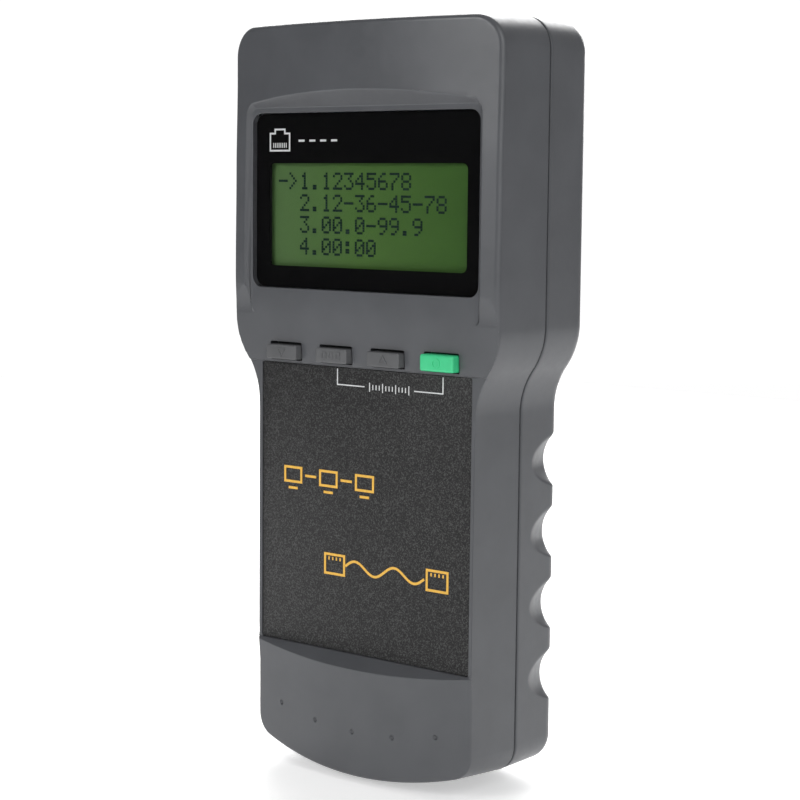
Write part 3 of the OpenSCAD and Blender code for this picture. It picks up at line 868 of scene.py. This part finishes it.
def build_key(name, material, body):
    box = KEYS[name]
    x, top = KEY_X[name], KEY_TOP[name]
    front, back = box[0].y, box[1].y
    edge_r = 0.55 if name == "key_power" else 0.25
    loops = [at_depth(rounded(2 * (KEY_HALF - inset), KEY_LOW + inset, top - inset, 0.5, x), depth)
             for depth, inset in reversed(edge_profile(1.0, front, edge_r, 5))]
    loops.append(at_depth(rounded(2 * KEY_HALF, KEY_LOW, top, 0.5, x), back - 0.9))
    key = loft(name + "_cap", loops)
    flange = rounded(12.4, box[0].z, box[1].z, 0.8, x)
    combine(key, [prism(flange, back - 1, back)], "UNION")
    combine(key, key_signs(name, x, (KEY_LOW + top) / 2, front), "UNION")
    smooth(key)
    finish_piece(key, material, [name], body)


# ---------------------------------------------------------------- battery door
TAB_X = 9
TAB_HALF = 2.5
RIDGE_COUNT = 5
RIDGE_PITCH = 2.1
RIDGE_TALL = 0.8
RIDGE_W = 12
DISH_HALF = 8
# The steps are (inset, depth from the panel's face)
DISH_STEPS = ((0.0, 1), (0.0, 0), (0.5, -0.45), (1.2, -0.6))
RIDGE_STEPS = ((0, -0.8), (0, -0.2), (0.1, -0.1))


def build_door():
    low, high = DOOR_LOW, DOOR[1].z
    inside, edge = DOOR[0].y, DOOR[0].z
    panel = rounded(2 * DOOR[1].x, low, high, 1)
    door = prism(panel, DOOR[1].y - 1.9, BACK, name="door_panel")
    tabs = [box_solid("tab", x - TAB_HALF, x + TAB_HALF, inside, inside + 1.25, edge, low + 3)
            for x in (-TAB_X, TAB_X)]
    tabs += [box_solid("tab", x - TAB_HALF, x + TAB_HALF, inside + 0.1, BACK - 1.5,
                       low + 0.2, low + 3.1) for x in (-TAB_X, TAB_X)]
    combine(door, tabs, "UNION")
    # A shallow dish for the thumb, with ridges across it
    dish = [at_depth(rounded(2 * (DISH_HALF - s), high - 17 + s, high - 4 - s, 3 - s, steps=8),
                     BACK + d) for s, d in DISH_STEPS]
    combine(door, [loft("cut", dish)], "DIFFERENCE")
    ridges = []
    for i in range(RIDGE_COUNT):
        z0 = high - 14.6 + RIDGE_PITCH * i
        z1 = z0 + RIDGE_TALL
        ridges.append(loft("ridge", [at_depth(rounded(RIDGE_W - 2 * s, z0 + s, z1 - s, 0.3, steps=4),
                                              BACK + d) for s, d in RIDGE_STEPS]))
    combine(door, ridges, "UNION")
    soften(door)
    finish_piece(door, shell_plastic, ["battery_door"], "door")


# ---------------------------------------------------------------- print on the label and lens
PRINT_THICK = 0.05
LABEL_PRINT = LABEL[0].y - 0.01     # depths of the print on the label and on the lens's mask
LENS_PRINT = MASK_FRONT - 0.005


def stroke(points, faces, a, b, width, depth):
    """A straight printed line from a to b."""
    path(points, faces, [a, b], width, depth)


def path(points, faces, trail, width, depth):
    """One mitred ribbon along a trail of (x, z); it closes up if the trail ends where it began."""
    closed = len(trail) > 2 and trail[0] == trail[-1]
    spots = trail[:-1] if closed else trail
    count = len(spots)
    first = len(points)
    for i, (x, z) in enumerate(spots):
        before = spots[i - 1] if i or closed else None
        after = spots[(i + 1) % count] if i < count - 1 or closed else None
        sides = []
        for a, b in ((before, (x, z)), ((x, z), after)):
            if a and b:
                run = math.hypot(b[0] - a[0], b[1] - a[1])
                sides.append((-(b[1] - a[1]) / run, (b[0] - a[0]) / run))
        nx, nz = (sum(v) / len(sides) for v in zip(*sides))
        scale = width / 2 / (nx * nx + nz * nz)
        for side in (1, -1):
            for d in (depth - PRINT_THICK, depth):
                points.append((x + side * nx * scale, d, z + side * nz * scale))
    for i in range(count if closed else count - 1):
        a, b = first + 4 * i, first + 4 * ((i + 1) % count)
        for u, v in ((0, 2), (2, 3), (3, 1), (1, 0)):
            faces.append((a + u, a + v, b + v, b + u))
    if not closed:
        faces.append((first, first + 1, first + 3, first + 2))
        end = first + 4 * (count - 1)
        faces.append((end, end + 2, end + 3, end + 1))


def printed(name, material, draw):
    """A piece of print, from a function that draws it."""
    points, faces = [], []
    draw(points, faces)
    thing = new_mesh(name, points, faces)
    face_outwards(thing)
    finish_piece(thing, material)


def draw_bracket(points, faces):
    """The bracket that joins two keys, with a small tick scale in its middle."""
    top, low = LABEL[1].z - 0.4, 97.7
    left, right = KEY_X["key_pair"], KEY_X["key_power"]
    arm, margin, width = 8.6, 10.2, 0.28
    path(points, faces, [(left, top), (left, low), (left + arm, low)], width, LABEL_PRINT)
    path(points, faces, [(right, top), (right, low), (right - arm, low)], width, LABEL_PRINT)
    for i in range(13):
        x = left + margin + (right - left - 2 * margin) * i / 12
        tall = 1.1 if i % 4 == 0 else 0.6
        stroke(points, faces, (x, low - tall), (x, low + tall), 0.26, LABEL_PRINT)


def box_path(points, faces, x, z, w, h, width, depth):
    path(points, faces, [(x, z), (x + w, z), (x + w, z + h), (x, z + h), (x, z)], width, depth)


def draw_gold(points, faces):
    """Two generic pictograms: three linked stations, and a cable with a plug at each end."""
    width = 0.62
    left, z, pitch = -25.2, 70.6, 11.6
    for i in range(3):
        x = left + i * pitch
        box_path(points, faces, x, z + 1.6, 5.4, 3.6, width, LABEL_PRINT)
        stroke(points, faces, (x + 1.2, z), (x + 4.2, z), width, LABEL_PRINT)
        if i:
            stroke(points, faces, (x - 4.9, z + 3.4), (x - 1.3, z + 3.4), width, LABEL_PRINT)
    left, z, long, plug = -11.8, 50.4, 38.2, 6.2
    for start, way in ((left, 1), (left + long, -1)):
        box_path(points, faces, start if way > 0 else start - plug, z, plug, 4.8, width, LABEL_PRINT)
        for i in range(4):
            x = start + way * (1.3 + i * 1.2)
            stroke(points, faces, (x, z + 3.4), (x, z + 4.2), 0.42, LABEL_PRINT)
    wave = [(left + 6.6 + 24.6 * i / 40, z + 2.4 + 1.5 * math.sin(4 * math.pi * i / 40))
            for i in range(41)]
    path(points, faces, wave, width, LABEL_PRINT)


def draw_lens_mark(points, faces):
    """A generic socket outline with eight contacts, and four dashes beside it."""
    x, z = -30.6, 154.6
    socket = [(x, z), (x + 6.4, z), (x + 6.4, z + 4.2), (x + 4.8, z + 4.2), (x + 4.8, z + 5.2),
              (x + 1.6, z + 5.2), (x + 1.6, z + 4.2), (x, z + 4.2), (x, z)]
    path(points, faces, socket, 0.42, LENS_PRINT)
    for i in range(8):
        at = x + 1.1 + i * 0.6
        stroke(points, faces, (at, z + 0.7), (at, z + 1.9), 0.26, LENS_PRINT)
    for i in range(4):
        at = x + 9.4 + i * 3.5
        stroke(points, faces, (at, z + 2.4), (at + 1.9, z + 2.4), 0.5, LENS_PRINT)


# ---------------------------------------------------------------- carried-over CAD nodes
CAD_MATERIALS = {
    "steel": steel, "brass": brass, "black_plastic": black_plastic, "board": board_mask,
    "diffuser": frosted, "blue_sleeve": blue_sleeve, "battery_case": battery_sleeve,
    "red_lead": red_plastic, "foam": foam_rubber, "shell": shell_plastic, "display": display_face,
}


def dress_cad_nodes():
    """Gives the CAD nodes that still show their materials, and a hair of round edge."""
    slots = {entry["node"]: entry["material_slot"] for entry in frame["record"]["subparts"]}
    for name, node in frame["nodes"].items():
        if node.hide_render:
            continue
        node.data.materials.clear()
        # The display's frame is dressed dark, because it shows as an edge beside the glass
        material = black_plastic if name == "lcd_bezel" else CAD_MATERIALS[slots[name]]
        node.data.materials.append(material)
        bevel = node.modifiers.new("edges", "BEVEL")
        bevel.width = 0.08 * MM
        bevel.segments = 2
        bevel.limit_method = "ANGLE"
        bevel.angle_limit = math.radians(40)


# ---------------------------------------------------------------- stage
def stage_sheet(name, corners, material):
    mesh = bpy.data.meshes.new(name)
    mesh.from_pydata(corners, [], [(0, 1, 2, 3)])
    mesh.materials.append(material)
    thing = bpy.data.objects.new(name, mesh)
    bpy.context.scene.collection.objects.link(thing)


def build_stage():
    """A pale floor, a white glowing sheet behind the tester, and a room that is white to look at
    but sheds little light from the front."""
    size, low = 0.85, -0.0002
    pale, shader = new_material("pale_floor", (0.86, 0.86, 0.86), 0.6)
    shader.inputs["Emission Color"].default_value = (1, 1, 1, 1)
    shader.inputs["Emission Strength"].default_value = 0.42
    stage_sheet("floor", [(-size, -size, low), (size, -size, low), (size, size, low),
                          (-size, size, low)], pale)
    away = Vector((-math.sin(CAMERA_AZIMUTH), math.cos(CAMERA_AZIMUTH), 0))
    across = Vector((away.y, -away.x, 0)) * 0.55
    middle, up = away * 1.0, Vector((0, 0, 1.1))
    glow, shader = new_material("backdrop", (0.0, 0.0, 0.0), 1.0)
    shader.inputs["Emission Color"].default_value = (1, 1, 1, 1)
    shader.inputs["Emission Strength"].default_value = 1.05
    stage_sheet("backdrop", [middle - across, middle + across, middle + across + up,
                             middle - across + up], glow)
    world = bpy.data.worlds.new("studio")
    world.use_nodes = True
    nodes, links = world.node_tree.nodes, world.node_tree.links
    direction = nodes.new("ShaderNodeTexCoord")
    split = nodes.new("ShaderNodeSeparateXYZ")
    links.new(direction.outputs["Generated"], split.inputs["Vector"])
    backwards = nodes.new("ShaderNodeMapRange")
    for socket, value in (("From Min", -0.6), ("From Max", 0.5), ("To Min", 0.05), ("To Max", 0.32)):
        backwards.inputs[socket].default_value = value
    links.new(split.outputs["Y"], backwards.inputs["Value"])
    seen = nodes.new("ShaderNodeLightPath")
    strength = nodes.new("ShaderNodeMath")
    strength.operation = "MAXIMUM"
    links.new(seen.outputs["Is Camera Ray"], strength.inputs[0])
    links.new(backwards.outputs["Result"], strength.inputs[1])
    links.new(strength.outputs["Value"], nodes["Background"].inputs["Strength"])
    nodes["Background"].inputs["Color"].default_value = (1, 1, 1, 1)
    bpy.context.scene.world = world
    bpy.context.scene.view_settings.view_transform = "Standard"


def area_light(name, azimuth, rise, away, power, width, height):
    """A softbox aimed at the tester, with its azimuth measured from the front to the right."""
    data = bpy.data.lights.new(name, "AREA")
    data.shape = "RECTANGLE"
    data.size = width
    data.size_y = height
    data.energy = power
    lamp = bpy.data.objects.new(name, data)
    turn, lift = math.radians(azimuth), math.radians(rise)
    back = Vector((math.sin(turn) * math.cos(lift), -math.cos(turn) * math.cos(lift), math.sin(lift)))
    lamp.location = Vector((0, 0, 0.1)) + away * back
    lamp.rotation_euler = (-back).to_track_quat("-Z", "Y").to_euler()
    bpy.context.scene.collection.objects.link(lamp)


# The photograph's camera, fitted to its picture
CAMERA_AZIMUTH = math.radians(38.52)
CAMERA_RISE = math.radians(6.23)
CAMERA_ROLL = math.radians(0.57)
CAMERA_DISTANCE = 0.4612
CAMERA_AIM = (0.0126, LENS_Y, 0.0955)
CAMERA_LENS = 87.17


def build_camera():
    data = bpy.data.cameras.new("camera")
    data.lens = CAMERA_LENS
    data.sensor_width = 36
    data.clip_start = 0.01
    camera = bpy.data.objects.new("camera", data)
    back = Vector((math.sin(CAMERA_AZIMUTH) * math.cos(CAMERA_RISE),
                   -math.cos(CAMERA_AZIMUTH) * math.cos(CAMERA_RISE), math.sin(CAMERA_RISE)))
    camera.location = Vector(CAMERA_AIM) + back * CAMERA_DISTANCE
    turn = (-back).to_track_quat("-Z", "Y").to_matrix()
    roll = Vector((0, 0, 1))
    camera.rotation_euler = (turn @ Matrix.Rotation(CAMERA_ROLL, 3, roll)).to_euler()
    bpy.context.scene.collection.objects.link(camera)
    bpy.context.scene.camera = camera


def build_lights():
    area_light("front_left", -10, 23, 1.0, 4.1, 0.28, 0.42)
    area_light("right_front", 65, 25, 1.0, 4.3, 0.6, 0.8)
    area_light("rear_left", -150, 25, 1.0, 14, 0.9, 0.9)
    area_light("overhead", 180, 84, 1.0, 1.7, 0.9, 0.9)


# ---------------------------------------------------------------- build
build_camera()
build_lights()
build_stage()
build_front_shell()
build_back_shell()
build_lens()
build_display()
build_label()
for key_name in ("key_down", "key_pair", "key_up"):
    build_key(key_name, key_plastic, key_name + "_button")
build_key("key_power", green_plastic, "key_power_button")
build_door()
printed("label_bracket", white_ink, draw_bracket)
printed("label_pictograms", gold_ink, draw_gold)
printed("lens_pictogram", white_ink, draw_lens_mark)
dress_cad_nodes()
